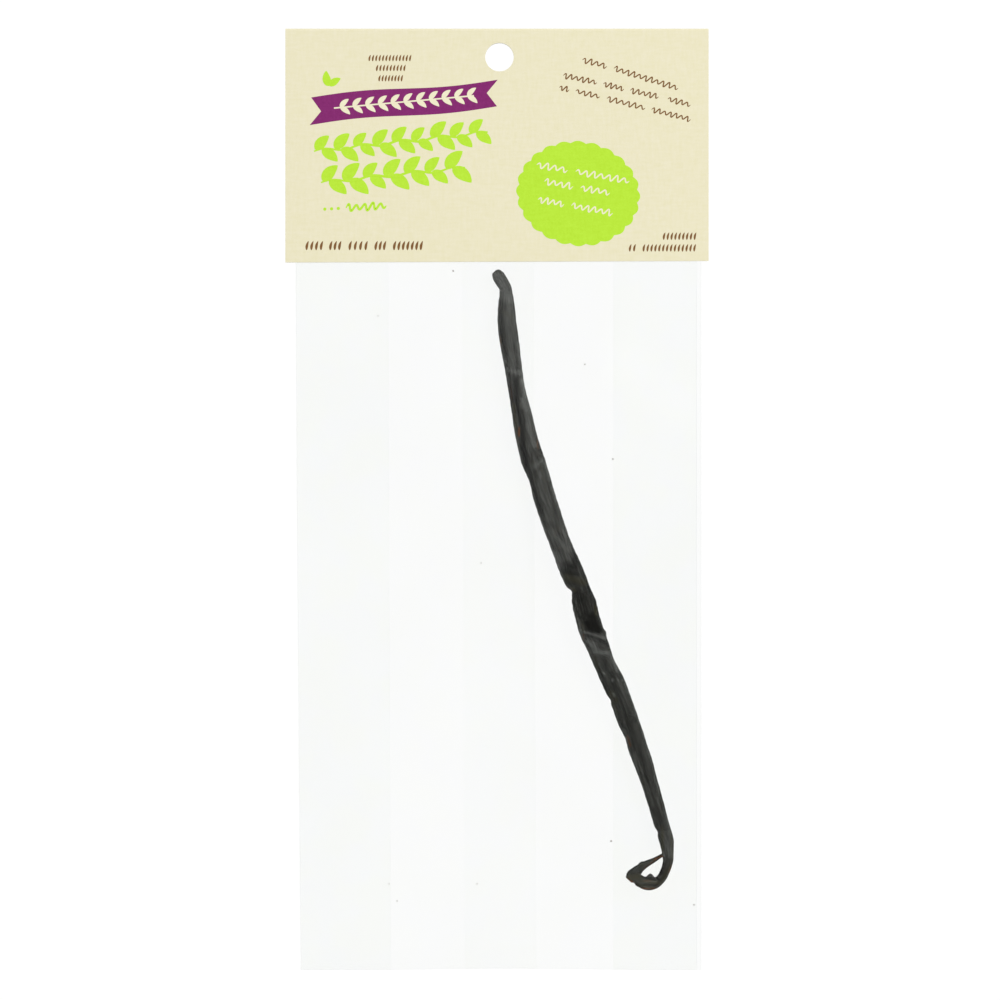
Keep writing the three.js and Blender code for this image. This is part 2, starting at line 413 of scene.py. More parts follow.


# Marks on the pod, in the photograph's pixels: (x, y) to (x, y), reach and strength.
# The dark and light ones are painted on its upper side only. The dark ones are darker spots of the
# skin together with painted shade along the pod's shaded left side.
DARK_SPOTS_AND_PAINTED_SHADE = [
    (501, 300, 501, 330, 2.0, 0.35), (502, 330, 506, 356, 2.8, 0.65), (505, 362, 510, 378, 1.8, 1.0),
    (505, 347, 505, 349, 2.4, 1.3), (506, 353, 507, 355, 2.2, 1.3), (502, 335, 503, 343, 2.0, 0.9),
    (509, 380, 512, 400, 2.0, 0.7), (513, 298, 514, 312, 1.5, 0.7), (516, 380, 517, 400, 4.8, 1.15),
    (517, 400, 518, 412, 4.4, 1.25), (519, 412, 522, 430, 3.8, 1.2), (522, 430, 524, 448, 4.8, 1.2),
    (523, 446, 527, 466, 5.6, 1.25), (528, 466, 532, 482, 3.4, 1.05), (532, 482, 537, 500, 2.8, 0.9),
    (537, 500, 541, 514, 2.6, 0.9), (541, 516, 548, 535, 2.0, 0.6), (536, 451, 530, 456, 5.0, 0.35),
    (533, 412, 535, 426, 1.4, 0.6), (549, 509, 551, 513, 5.0, 0.25), (575, 555, 575, 566, 7.0, 1.2),
    (565, 564, 574, 567, 7.5, 1.1), (565, 571, 576, 574, 8.0, 1.1), (580, 564, 586, 582, 4.2, 0.9),
    (566, 580, 583, 583, 8.0, 0.85), (577, 592, 582, 600, 9.0, 1.1), (588, 588, 592, 602, 8.0, 1.0),
    (595, 603, 597, 614, 5.0, 1.2), (583, 602, 587, 618, 9.0, 0.9), (590, 604, 591, 614, 6.5, 0.8),
    (591, 616, 593, 630, 6.5, 1.35), (579, 604, 583, 622, 5.0, 0.75), (592, 614, 596, 622, 8.5, 1.25),
    (594, 622, 598, 630, 7.5, 1.6), (587, 622, 590, 628, 5.5, 1.45), (585, 634.5, 598, 638, 1.6, 1.2),
    (599, 639, 607, 644, 4.4, 1.15), (572, 592, 574, 606, 2.0, 0.8), (596, 646, 607, 648, 1.8, 0.4),
    (603, 658, 606, 668, 4.5, 0.5), (611, 672, 616, 700, 5.0, 0.8), (617, 690, 625, 715, 5.0, 0.6),
    (625, 712, 637, 745, 6.0, 0.55), (612, 676, 612, 677, 1.8, 1.2), (611, 700, 614, 704, 1.6, 0.9),
    (617, 717, 622, 726, 1.8, 0.8), (633, 716, 635, 721, 1.6, 0.9), (602, 682, 608, 693, 1.8, 0.9),
    (638, 745, 648, 780, 4.0, 0.5), (650, 770, 656, 795, 1.8, 0.5), (656, 808, 661, 827, 6.0, 0.7),
    (660, 834, 662, 852, 1.6, 0.8), (663, 858, 660, 874, 2.2, 1.0), (656, 877, 659, 879, 2.0, 1.0),
    (643, 876, 655, 880, 1.8, 1.0), (640, 870, 641, 875, 1.4, 1.0), (627, 875, 633, 869, 1.6, 0.9),
    (635, 867, 640, 862, 1.5, 0.9), (641, 862, 652, 858, 1.3, 0.6), (642, 869, 655, 860, 1.3, 0.7),
    (641, 884, 657, 884, 1.8, 0.9), (664, 884, 669, 874, 2.2, 0.7), (634, 882, 640, 887, 1.6, 0.8),
]
# Paler spots of the skin together with painted highlights: the lit right side, the light lines of the film's
# creases, glints on the hook, and the film's grey haze painted on the skin as a reflection.
PALE_SPOTS_AND_PAINTED_HIGHLIGHTS = [
    (493, 275, 495, 279, 2.2, 1.0), (496, 272, 500, 273, 2.6, 0.6), (503, 284, 509, 287, 2.5, 0.4),
    (503, 297, 512, 299, 3.0, 0.35), (507, 300, 512, 366, 8.0, 0.45), (496, 273, 508, 300, 10.0, 0.95),
    (508, 322, 511, 334, 4.0, 0.4), (517, 343, 519, 352, 1.8, 0.7), (513, 353, 519, 357, 3.0, 0.4),
    (511, 371, 520, 373, 4.5, 0.85), (505, 361, 506, 363, 1.6, 1.2), (507, 368, 508, 371, 1.4, 1.1),
    (522, 380, 525, 398, 3.2, 0.95), (523, 400, 527, 412, 4.4, 1.0), (527, 412, 530, 430, 4.4, 0.8),
    (530, 430, 534, 446, 4.4, 0.75), (541, 461, 534, 467, 5.0, 0.6), (545, 464, 549, 480, 2.0, 0.7),
    (539, 474, 549, 520, 5.0, 0.4), (551, 486, 556, 502, 2.0, 0.5), (557, 505, 561, 516, 1.6, 0.5),
    (549, 530, 562, 545, 6.0, 0.45), (563, 520, 568, 535, 1.6, 0.4), (556, 553, 559, 560, 4.5, 0.4),
    (563, 545, 568, 550, 4.5, 0.4), (575, 600, 579, 614, 2.4, 0.3), (578, 618, 581, 630, 1.8, 0.5),
    (584, 631.5, 592, 633.5, 1.7, 0.8), (592, 634, 600, 636, 1.8, 0.6), (600, 636, 605, 638, 2.6, 0.45),
    (588, 640, 592, 646, 3.2, 0.9), (593, 642, 596, 648, 2.6, 0.7), (594, 651, 608, 652.5, 3.6, 0.8),
    (611, 655, 617, 671, 2.4, 0.8), (603, 672, 604, 673, 1.8, 1.1), (612, 679, 612, 680, 1.9, 1.1),
    (613, 693, 614, 695, 2.6, 0.9), (617, 679, 618, 680, 1.5, 1.0), (622, 679, 622, 680, 1.5, 1.0),
    (624, 684, 632, 700, 1.6, 0.4), (668, 831, 671, 856, 3.6, 0.4), (662, 829, 664, 842, 2.4, 0.1),
    (643, 881, 656, 881, 1.8, 0.8), (634, 871, 638, 869, 2.0, 0.35), (645, 865, 652, 861, 1.6, 0.4),
    (663, 851, 664, 855, 1.4, 0.8), (645, 886.5, 648, 887, 1.4, 0.5),
]
RUST_MARKS = [
    (519, 428, 519, 436, 1.4, 1.3), (511, 385, 512, 400, 0.9, 0.3), (537, 440, 538, 449, 1.0, 0.5),
    (500, 337, 501, 345, 1.0, 0.5), (627, 736, 630, 745, 2.0, 0.4), (662, 856, 655, 859, 1.7, 1.3),
    (655, 860, 643, 869, 0.9, 0.5), (628, 879, 633, 882, 1.8, 0.9), (640, 888, 655, 888, 1.6, 0.7),
    (672, 865, 669, 872, 1.6, 0.6), (644, 880, 650, 880, 1.4, 0.3), (583, 634, 583, 640, 0.9, 0.4),
]
# Olive tints of the skin; the olive band at the hook's lower rim is a painted highlight
OLIVE_SPOTS_AND_PAINTED_HIGHLIGHT = [
    (514, 405, 517, 445, 3.0, 0.9), (503, 312, 512, 318, 4.0, 0.4), (566, 577, 584, 582, 6.0, 0.7),
    (572, 588, 575, 590, 2.5, 0.9), (595, 606, 596, 614, 3.0, 0.8), (582, 624, 583, 630, 2.0, 0.7),
    (594, 656, 598, 668, 3.0, 0.6), (610, 692, 615, 700, 4.0, 0.8), (612, 702, 617, 712, 2.5, 0.5),
    (662, 826, 662, 850, 3.0, 0.7), (671, 836, 672, 858, 2.6, 0.6), (629, 877, 639, 876, 5.5, 1.0),
    (640, 880, 657, 882, 3.4, 1.0), (637, 884, 655, 888, 3.0, 0.8), (660, 884, 670, 866, 4.0, 0.6),
    (640, 866, 655, 860, 2.5, 0.5),
]


# Where the skin's streaks are evened out: (y, share)
CALM_ALONG_POD = [(-30.0, 0.0), (-37.0, 0.15), (-45.0, 0.38), (-68.0, 0.34), (-78.0, 0.1), (-84.0, 0.0)]


def on_pod(marks):
    """The marks as strokes in millimetres."""
    strokes = []
    for x0, y0, x1, y1, reach, strength in marks:
        start = ((x0 - ZERO_PX) * PX, (ZERO_PY - y0) * PX)
        end = ((x1 - ZERO_PX) * PX, (ZERO_PY - y1) * PX)
        strokes.append((*start, *end, reach * PX, strength))
    return strokes


def strokes_over(x, y, strokes):
    """How strongly a set of soft strokes covers each point."""
    total = np.zeros(len(x))
    for x0, y0, x1, y1, width, strength in strokes:
        run = np.array([x1 - x0, y1 - y0])
        share = clamp01(((x - x0) * run[0] + (y - y0) * run[1]) / max(run @ run, 1e-6))
        away = np.hypot(x - x0 - share * run[0], y - y0 - share * run[1])
        total = np.maximum(total, strength * bell(away / width))
    return total


def paint_pod(pod):
    x, y, z = points_mm(pod).T
    middle = np.empty(len(x))
    nearest = np.full(len(x), 1e9)
    for pod_x, pod_y, pod_z, _, _ in POD_COURSE[::2]:
        away = np.hypot(x - pod_x, y - pod_y)
        middle = np.where(away < nearest, pod_z, middle)
        nearest = np.minimum(nearest, away)
    upper = smooth((z - middle + 0.6) / 0.8)
    for name, marks, seen in (("dark", DARK_SPOTS_AND_PAINTED_SHADE, upper), ("light", PALE_SPOTS_AND_PAINTED_HIGHLIGHTS, upper),
                              ("rust", RUST_MARKS, 1.0), ("olive", OLIVE_SPOTS_AND_PAINTED_HIGHLIGHT, 1.0)):
        paint(pod, name, strokes_over(x, y, on_pod(marks)) * seen)
    heights, shares = zip(*reversed(CALM_ALONG_POD))
    paint(pod, "calm", np.interp(y, heights, shares))


# Colours of the pod's skin, and how noise lightens and darkens it:
# (pattern, value where it starts to show, value where it shows most, share there, colour)
SKIN_DARK = (0.0150, 0.0157, 0.0138, 1)
SKIN_LIT = (0.0400, 0.0418, 0.0376, 1)
SKIN_MEAN = (0.0300, 0.0312, 0.0280, 1)
# Colour of the dark marks: near-black skin, and painted shade on the shaded side
BLACK_SKIN_AND_PAINTED_SHADE = (0.0055, 0.0056, 0.0046, 1)
# Colour of the olive marks: olive skin, and a painted highlight on the hook
OLIVE_SKIN_AND_PAINTED_HIGHLIGHT = (0.046, 0.042, 0.018, 1)
SKIN_RUST = (0.130, 0.050, 0.017, 1)
# Colours of the light marks: paler skin, and painted highlight and reflection
PALE_SKIN_AND_HIGHLIGHT_LOW = (0.118, 0.122, 0.114, 1)
PALE_SKIN_AND_HIGHLIGHT_HIGH = (0.182, 0.188, 0.176, 1)
SKIN_LAYERS = [
    ("mottle", 0.50, 0.64, 0.3, (0.070, 0.060, 0.042, 1)),
    ("lines", 0.52, 0.64, 0.55, (0.085, 0.088, 0.080, 1)),
    ("lines", 0.47, 0.37, 0.6, (0.0050, 0.0052, 0.0045, 1)),
    ("grains", 0.52, 0.66, 0.2, (0.105, 0.106, 0.096, 1)),
    ("grains", 0.48, 0.34, 0.3, (0.0040, 0.0041, 0.0034, 1)),
]


def pod_skin():
    """Oily dark skin: long streaks along the pod, fine mottle, and the listed marks, which hold painted shade
    and painted highlights as well as real spots.
    """
    m = Nodes("cured_pod_skin")
    streaks = m.cloud(m.place(scale=(17.0, 22.0, 1.0), source="UV"), 1.0, 4.0, 0.6)
    lines = m.cloud(m.place(scale=(44.0, 30.0, 1.0), source="UV"), 1.0, 2.0, 0.65)
    where = m.place()
    mottle = m.cloud(where, 1300.0, 4.0, 0.6)
    grains = m.cloud(where, 2200.0, 1.0, 0.6)
    patterns = {"mottle": mottle, "lines": lines, "grains": grains}
    tone = m.blend_colours(m.spread(streaks, 0.42, 0.60), SKIN_DARK, SKIN_LIT)
    for pattern, start, full, share, colour in SKIN_LAYERS:
        tone = m.blend_colours(m.spread(patterns[pattern], start, full, 0.0, share), tone, colour)
    tone = m.blend_colours(m.attribute("calm"), tone, SKIN_MEAN)
    # The light marks' tone: paler skin, and painted highlight and reflection
    pale_skin_and_highlight = m.blend_colours(m.spread(m.maths("ADD", grains, lines), 0.85, 1.15), PALE_SKIN_AND_HIGHLIGHT_LOW, PALE_SKIN_AND_HIGHLIGHT_HIGH)
    # The dark marks lay on painted shade, the light ones painted highlights and reflection, the olive ones
    # olive tints and a painted highlight on the hook
    for mark, share, colour in ("dark", 0.8, BLACK_SKIN_AND_PAINTED_SHADE), ("light", 0.45, pale_skin_and_highlight), ("olive", 0.45, OLIVE_SKIN_AND_PAINTED_HIGHLIGHT):
        strength = m.maths("MULTIPLY", m.attribute(mark), share, clamp=True)
        tone = m.blend_colours(strength, tone, colour)
    patchy = m.maths("MULTIPLY", m.attribute("rust"), m.spread(mottle, 0.36, 0.58, 0.35, 1.0), clamp=True)
    tone = m.blend_colours(patchy, tone, SKIN_RUST)
    relief = m.maths("ADD", m.maths("MULTIPLY", mottle, 0.7), lines)
    m.surface(tone, m.spread(streaks, 0.3, 0.7, 0.36, 0.58), 0.1, m.bump(relief, 0.4, 0.0003))
    return m.material


# The film bag

FILM_SHINE = 0.016
FILM_HAZE = 0.006
FILM_GLANCE = 0.3
FILM_WARM = (0.9978, 0.9994, 0.9964, 1)
FILM_COOL = (0.9978, 0.9992, 0.9986, 1)
FILM_EDGE = (0.93, 0.935, 0.935, 1)
# Share by which the outer plies' see-through tint is darkened all over
OUTER_PLY_DARKENING = 0.12
EDGE_BAND = 0.45
EDGE_SHADE = 0.03
STRIP_SHADE = 0.085
SEAL_SHADE = 0.004
END_SHADE = 0.04
CREASE_SHADE = 0.05

# Height of each ply, from the outer back ply to the front, at the mouth, in the body and in the seal
PLY_HEIGHTS = {
    "mouth": (0.57, 0.63, 0.70, 0.78, 0.91),
    "body": (0.04, 0.10, 0.16, 0.23, 0.77),
    "seal": (0.03, 0.08, 0.13, 0.18, 0.31),
}
BACK, LAP, LOW, HIGH, FRONT = range(5)


def left_edge(y):
    share = clamp01((CARD_BOTTOM - y) / (CARD_BOTTOM - PACK_END))
    return BAG_LEFT + EDGE_TAPER * share ** 1.4


def end_rise(x):
    return SEAL_RISE * bell((x - SEAL_MIDDLE) / ((BAG_RIGHT - BAG_LEFT) * 0.4))


def tent(x, y):
    """How far the pod lifts the front film above the flat bag."""
    from_card = smooth((CARD_BOTTOM - CARD_SKEW - y) / 4.0)
    from_edge = smooth((BAG_RIGHT - x) / 6.0)
    height = np.zeros_like(x)
    for pod_x, pod_y, _, width, _ in POD_COURSE[::4]:
        crest = POD_LIFT + POD_FLATNESS * width + FILM_SLACK - PLY_HEIGHTS["body"][FRONT]
        reach = width / 2 + DRAPE_REACH
        height = np.maximum(height, crest * bell(np.hypot(x - pod_x, y - pod_y) / reach) ** 0.8)
    return height * from_card * from_edge


def film_stops():
    """Across the folded film, from the inner lap round to the outer: (x from the left edge as a share
    of the width, x to add, ply, steps to the next stop, bulge of a fold on the way or 0)."""
    middle = 0.5
    left, right = FRONT_INSET_LEFT, -FRONT_INSET_RIGHT
    return [
        (middle, -SEAM_HALF, LAP, 4, 0), (middle, SEAM_HALF, LAP, 1, 0),
        (middle, SEAM_HALF + 0.08, 0.9, 1, 0), (middle, SEAM_HALF + 0.8, BACK, 9, 0),
        (1.0, right - 0.05, BACK, 1, 0), (1.0, right + 0.05, BACK, 2, 0), (1.0, -0.1, BACK, 4, 0.1),
        (1.0, -0.1, LOW, 2, 0), (1.0, right + 0.05, LOW, 1, 0), (1.0, right - 0.05, LOW, 5, 0),
        (1.0, 0.1 - GUSSET, LOW, 4, -0.1), (1.0, 0.1 - GUSSET, HIGH, 5, 0),
        (1.0, right - 0.6, HIGH, 1, 0), (1.0, right - 0.25, HIGH, 4, 0.25),
        (1.0, right - 0.25, FRONT, 1, 0), (1.0, right - 0.6, FRONT, 2, 0),
        (1.0, -3.0, FRONT, 90, 0), (middle, -5.0, FRONT, 38, 0),
        (0.0, left + 0.6, FRONT, 1, 0), (0.0, left + 0.25, FRONT, 4, -0.25),
        (0.0, left + 0.25, HIGH, 1, 0), (0.0, left + 0.6, HIGH, 5, 0),
        (middle, -GUSSET_LEFT - 0.1, HIGH, 4, 0.1), (middle, -GUSSET_LEFT - 0.1, LOW, 5, 0),
        (0.0, 0.6, LOW, 1, 0), (0.0, 0.1, LOW, 4, -0.1), (0.0, 0.1, BACK, 1, 0),
        (0.0, 0.6, BACK, 10, 0), (middle, SEAM_HALF, BACK, 0, 0),
    ]


def film_columns():
    """The columns at and between the stops. A fold goes round from one ply to another."""
    stops = film_stops()
    columns = []
    for here, there in zip(stops, stops[1:]):
        steps, bulge = here[3:]
        for k in range(steps):
            turn = math.pi * k / steps
            share, add, ply = (mix(a, b, k / steps) for a, b in zip(here[:3], there[:3]))
            if bulge:
                add += bulge * math.sin(turn)
                ply = mix(here[2], there[2], 0.5 - 0.5 * math.cos(turn))
            columns.append([share, add, ply])
    columns.append(stops[-1][:3])
    return np.array(columns)


def film_rows():
    """Along the bag, closest together where the light crease crosses the pod."""
    rows = [PACK_END, PACK_END + 0.3]
    near_card = CARD_BOTTOM - SETTLE_LENGTH
    for start, end, step in (
            (PACK_END + 1.0, SEAL_TOP - 0.3, 0.9), (SEAL_TOP, -45.0, 1.5), (-45.0, -39.0, 0.6),
            (-39.0, -35.0, 0.2), (-35.0, -18.0, 0.6), (-18.0, near_card, 1.5),
            (near_card, CARD_BOTTOM + 1.0, 0.9)):
        rows += list(np.arange(start, end, step))
    rows += list(np.linspace(CARD_BOTTOM + 1.0, MOUTH_END, 12))
    return np.array(rows)


FILM_COLUMNS = film_columns()
FILM_ROWS = film_rows()


# Light creases in the front film: (x, y) to (x, y), half width and height
FILM_CREASES = [
    (23.4, -37.0, 28.4, -38.9, 0.7, 0.16), (28.4, -38.9, 31.6, -38.6, 0.7, 0.14),
    (25.2, -39.9, 29.1, -42.6, 1.0, 0.16), (29.1, -42.6, 33.4, -43.9, 1.0, 0.14),
    (54.5, 2.7, 44.0, -11.5, 1.1, 0.10), (44.0, -11.5, 33.3, -25.5, 1.1, 0.10),
    (44.0, -91.9, 49.4, -90.3, 0.8, 0.10), (20.0, -22.5, 25.4, -15.8, 0.9, 0.06),
    (-31.0, 60.0, -35.0, 12.0, 1.3, 0.05), (-20.0, -20.0, -34.0, -72.0, 1.4, 0.05),
    (30.0, 50.0, 22.0, 20.0, 1.2, 0.05),
]


def film_waves(x, y):
    """Soft, shallow waves of a film that isn't pulled tight."""
    wave = 0.03 * np.sin(x / 6.1 + 0.9 * np.sin(y / 37.0)) + 0.025 * np.sin(y / 14.0 + 0.8 * np.sin(x / 21.0))
    return wave * smooth((x - left_edge(y)) / 8.0) * smooth((BAG_RIGHT - x) / 8.0)


def film_place(u, v):
    column = FILM_COLUMNS[np.rint(u * (len(FILM_COLUMNS) - 1)).astype(int)]
    y = FILM_ROWS[np.rint(v * (len(FILM_ROWS) - 1)).astype(int)]
    x = mix(left_edge(y), BAG_RIGHT, column[:, 0]) + column[:, 1]
    ply = column[:, 2]
    plies = np.arange(5)
    mouth, body, seal = (np.interp(ply, plies, PLY_HEIGHTS[zone]) for zone in ("mouth", "body", "seal"))
    settled = smooth((CARD_BOTTOM - CARD_SKEW - y) / SETTLE_LENGTH)
    sealed = smooth((SEAL_TOP + 0.5 - y) / 1.2)
    z = mix(mix(mouth, body, settled), seal, sealed)
    front = clamp01(ply - HIGH)
    z += (tent(x, y) + film_waves(x, y) * settled) * front * (1.0 - sealed)
    for x0, y0, x1, y1, half, height in FILM_CREASES:
        z += height * strokes_over(x, y, [(x0, y0, x1, y1, half, 1.0)]) * front * (1.0 - sealed)
    y = y + end_rise(x) * smooth((SEAL_TOP - y) / 1.0)
    return np.stack([x, y, z], axis=1)


# A stretch of the right gusset whose outer plies are darkened less: (x, y) to (x, y), reach and strength
LESS_DARKENED_FILM = [(38.0, 37.5, 49.0, 27.5, 13.0, 0.5)]

# How strong the film's haze looks along the pod: (y, strength). It is weak where film and pod touch.
VEIL_ALONG_POD = [
    (66.0, 0.9), (60.0, 0.9), (52.0, 0.75), (48.0, 0.6), (39.0, 0.6), (35.0, 0.8), (33.0, 0.65),
    (24.0, 0.5), (14.0, 0.5), (-6.0, 0.5), (-15.0, 0.65), (-17.5, 0.65), (-19.0, 0.2), (-26.0, 0.15),
    (-30.0, 0.05), (-36.8, 0.0), (-37.2, 0.5), (-42.0, 0.5), (-46.0, 0.2), (-70.0, 0.12), (-90.0, 0.2),
    (-93.0, 0.35), (-109.0, 0.28),
]
VEIL_SLANT_LOW = (-37.0, -0.15)
VEIL_SLANT_HIGH = (-20.0, 0.8)
INNER_VEIL = 0.3


def film_veil(x, y, front, back):
    """1 on the free outer film, less on the inner plies, and the strength given above over the pod."""
    nearest = np.full(len(x), 1e9)
    pod_middle = np.zeros(len(x))
    for pod_x, pod_y, _, width, _ in POD_COURSE[::4]:
        away = np.hypot(x - pod_x, y - pod_y)
        pod_middle = np.where(away - width / 2 < nearest, pod_x, pod_middle)
        nearest = np.minimum(nearest, away - width / 2)
    heights, strengths = zip(*reversed(VEIL_ALONG_POD))
    slant = np.interp(y, *zip(VEIL_SLANT_LOW, VEIL_SLANT_HIGH))
    over = np.interp(y - slant * (x - pod_middle), heights, strengths)
    creased = strokes_over(x, y, FILM_CREASES[:4])
    near = 1.0 - smooth((nearest - 0.3) / 2.0)
    free = mix(INNER_VEIL, 1.0, front + back)
    return mix(free, over + 1.2 * creased, near * front)


def film_shade(x, y, front, back):
    """Where the film looks a little darker: the outer plies all over, the side edges, the strip beside
    the front ply, the seal, the end and the creases across the right gusset."""
    below_card = (y < CARD_BOTTOM).astype(float)
    edge = smooth(1.0 - (x - left_edge(y)) / EDGE_BAND) + smooth(1.0 - (BAG_RIGHT - x) / EDGE_BAND)
    strip = smooth((x - BAG_RIGHT + FRONT_INSET_RIGHT + 0.05) / 0.1)
    seal = smooth((SEAL_TOP + end_rise(x) - y) / 0.8)
    end = smooth(1.0 - (y - PACK_END - end_rise(x)) / 0.6)
    creased = strokes_over(x, y, FILM_CREASES[4:6]) * front
    # The outer plies get a darker see-through tint all over, weaker on one stretch of the right gusset
    outer_darkening = (front + back) * (1.0 - strokes_over(x, y, LESS_DARKENED_FILM))
    return (EDGE_SHADE * edge * below_card + STRIP_SHADE * strip * below_card + SEAL_SHADE * seal
            + END_SHADE * end + CREASE_SHADE * creased + OUTER_PLY_DARKENING * outer_darkening)


def paint_film(film):
    x, y, _ = points_mm(film).T
    ply = np.empty(len(x))
    film.data.attributes["ply"].data.foreach_get("value", ply)
    front = clamp01(ply - HIGH)
    back = clamp01((1.0 - ply) * 10.0)
    paint(film, "veil", film_veil(x, y, front, back))
    paint(film, "shade", film_shade(x, y, front, back))


def make_film():
    film = shaped_grid("film_bag", len(FILM_COLUMNS) - 1, len(FILM_ROWS) - 1, film_place)
    paint(film, "ply", np.tile(FILM_COLUMNS[:, 2], len(FILM_ROWS)))
    wall = film.modifiers.new("film thickness", "SOLIDIFY")
    wall.thickness = FILM * MM
    wall.offset = 0.0
    apply_modifiers(film)
    bpy.ops.object.shade_smooth()
    paint_film(film)
    film.visible_shadow = False
    film.visible_diffuse = False
    return film


def film_clear():
    """Clear glossy film: see-through, with a little grey haze and gloss that grows at a glancing view."""
    m = Nodes("clear_film")
    where = m.place()
    wavy = m.cloud(where, 60.0, 1.0, 0.5)
    normal = m.bump(wavy, 0.25, 0.001)
    glance = m.add("ShaderNodeLayerWeight")
    glance.inputs["Blend"].default_value = 0.5
    m.link(normal, glance.inputs["Normal"])
    rise = m.maths("POWER", glance.outputs["Facing"], 5.0)
    dust = m.spread(m.cloud(where, 25.0, 1.0, 0.6), 0.3, 0.7, 0.85, 1.15)
    veil = m.maths("MULTIPLY", m.attribute("veil"), dust)
    shiny, glancing = m.maths("MULTIPLY", veil, FILM_SHINE), m.maths("MULTIPLY", rise, FILM_GLANCE)
    mirrored = m.maths("ADD", shiny, glancing, clamp=True)
    clear = m.add("ShaderNodeBsdfTransparent")
    cast = m.spread(m.cloud(where, 70.0, 2.0, 0.6), 0.4, 0.6)
    tint = m.blend_colours(cast, FILM_WARM, FILM_COOL)
    m.link(m.blend_colours(m.attribute("shade"), tint, FILM_EDGE), clear.inputs["Color"])
    gloss = m.add("ShaderNodeBsdfGlossy")
    gloss.inputs["Roughness"].default_value = 0.12
    m.link(normal, gloss.inputs["Normal"])
    shine = m.add("ShaderNodeMixShader")
    m.link(mirrored, shine.inputs["Fac"])
    m.link(clear.outputs[0], shine.inputs[1])
    m.link(gloss.outputs[0], shine.inputs[2])
    haze = m.add("ShaderNodeBsdfDiffuse")
    haze.inputs["Color"].default_value = (0.7, 0.72, 0.71, 1)
    whole = m.add("ShaderNodeMixShader")
    m.link(m.maths("MULTIPLY", veil, FILM_HAZE), whole.inputs["Fac"])
    m.link(shine.outputs[0], whole.inputs[1])
    m.link(haze.outputs[0], whole.inputs[2])
    m.link(whole.outputs[0], m.output.inputs["Surface"])
    return m.material


# Tiny dark specks on the front film: x, y and size
FILM_SPECKS = [
    (-12.4, 64.5, 0.5), (-33.6, 51.8, 0.36), (24.8, 38.2, 0.40), (32.7, 11.4, 0.45),
    (-4.5, -17.9, 0.34), (32.2, -96.4, 0.52), (-30.5, -108.5, 0.34), (-5.6, -108.5, 0.34),
    (-28.2, -113.3, 0.36), (55.6, -114.4, 0.40),
]


def film_height(x, y):
    """The front film's outer face at a place on the free film."""
    x, y = np.array([x]), np.array([y])
    return (PLY_HEIGHTS["body"][FRONT] + tent(x, y) + film_waves(x, y))[0] + FILM / 2


def make_specks():
    """Crumbs of spice dust that cling to the film, each a squashed little lump."""
    draw = np.random.default_rng(5)
    specks = []
    for x, y, size in FILM_SPECKS:
        deselect_all()
        bpy.ops.mesh.primitive_ico_sphere_add(subdivisions=2, radius=size / 2 * MM)
        speck = bpy.context.object
        lumps = points_mm(speck)
        lumps *= 1.0 + 0.25 * draw.standard_normal((len(lumps), 1))
        lumps *= [1.0, 0.8, 0.3]
        lumps += [x, y, film_height(x, y) + 0.02]
        move_points(speck, lumps)
        specks.append(speck)
    return join(specks, "film_specks")


def speck_crumb():
    m = Nodes("spice_dust")
    mottled = m.cloud(m.place(), 6000.0, 2.0, 0.5)
    m.surface(m.blend_colours(mottled, (0.10, 0.085, 0.06, 1), (0.34, 0.30, 0.26, 1)), 0.8)
    return m.material


# The card

CARD_DARKER = (0.785, 0.737, 0.502, 1)
CARD_LIGHTER = (0.818, 0.770, 0.569, 1)
PAPER_GLOSS = 0.25


def make_card():
    """The folded sheet: front panel, fold and back panel as one bent grid with a thickness."""
    middle_radius = (CARD_DEPTH - CARD_THICKNESS) / 2
    fold_y = CARD_TOP - CARD_DEPTH / 2
    panel = fold_y - CARD_BOTTOM
    fold_steps = 12
    panel_steps = 20
    angles = np.linspace(math.pi / 2, -math.pi / 2, fold_steps + 1)
    front_z, back_z = CARD_DEPTH - CARD_THICKNESS / 2, CARD_THICKNESS / 2
    profile = [(fold_y - panel * (1 - k / panel_steps), front_z) for k in range(panel_steps)]
    profile += [(fold_y + middle_radius * math.cos(a), CARD_DEPTH / 2 + middle_radius * math.sin(a))
                for a in angles]
    profile += [(fold_y - panel * k / panel_steps, back_z) for k in range(1, panel_steps + 1)]
    profile = np.array(profile)

    def place(u, v):
        x = mix(CARD_LEFT, CARD_RIGHT, u)
        y, z = profile[np.rint(v * (len(profile) - 1)).astype(int)].T
        near_edge = clamp01((fold_y - y) / panel)
        y = y + mix(-CARD_SKEW / 2, CARD_SKEW / 2, u) * near_edge
        return np.stack([x, y, z], axis=1)

    card = shaped_grid("card_header", 30, len(profile) - 1, place)
    wall = card.modifiers.new("card thickness", "SOLIDIFY")
    wall.thickness = CARD_THICKNESS * MM
    wall.offset = 0.0
    apply_modifiers(card)

    deselect_all()
    bpy.ops.mesh.primitive_cylinder_add(
        vertices=96, radius=HOLE_RADIUS * MM, depth=0.02, location=(HOLE_X * MM, HOLE_Y * MM, 0.0))
    punch = bpy.context.object
    hole = card.modifiers.new("hang hole", "BOOLEAN")
    hole.operation = "DIFFERENCE"
    hole.object = punch
    hole.solver = "EXACT"
    worn = card.modifiers.new("soft edges", "BEVEL")
    worn.width = 0.05 * MM
    worn.segments = 2
    worn.limit_method = "ANGLE"
    worn.angle_limit = math.radians(50)
    apply_modifiers(card)
    bpy.data.objects.remove(punch)
    pick(card)
    bpy.ops.object.shade_smooth_by_angle(angle=math.radians(35))
    flat = card.modifiers.new("flat panels", "WEIGHTED_NORMAL")
    flat.keep_sharp = True
    apply_modifiers(card)
    paint_card(card)
    return card


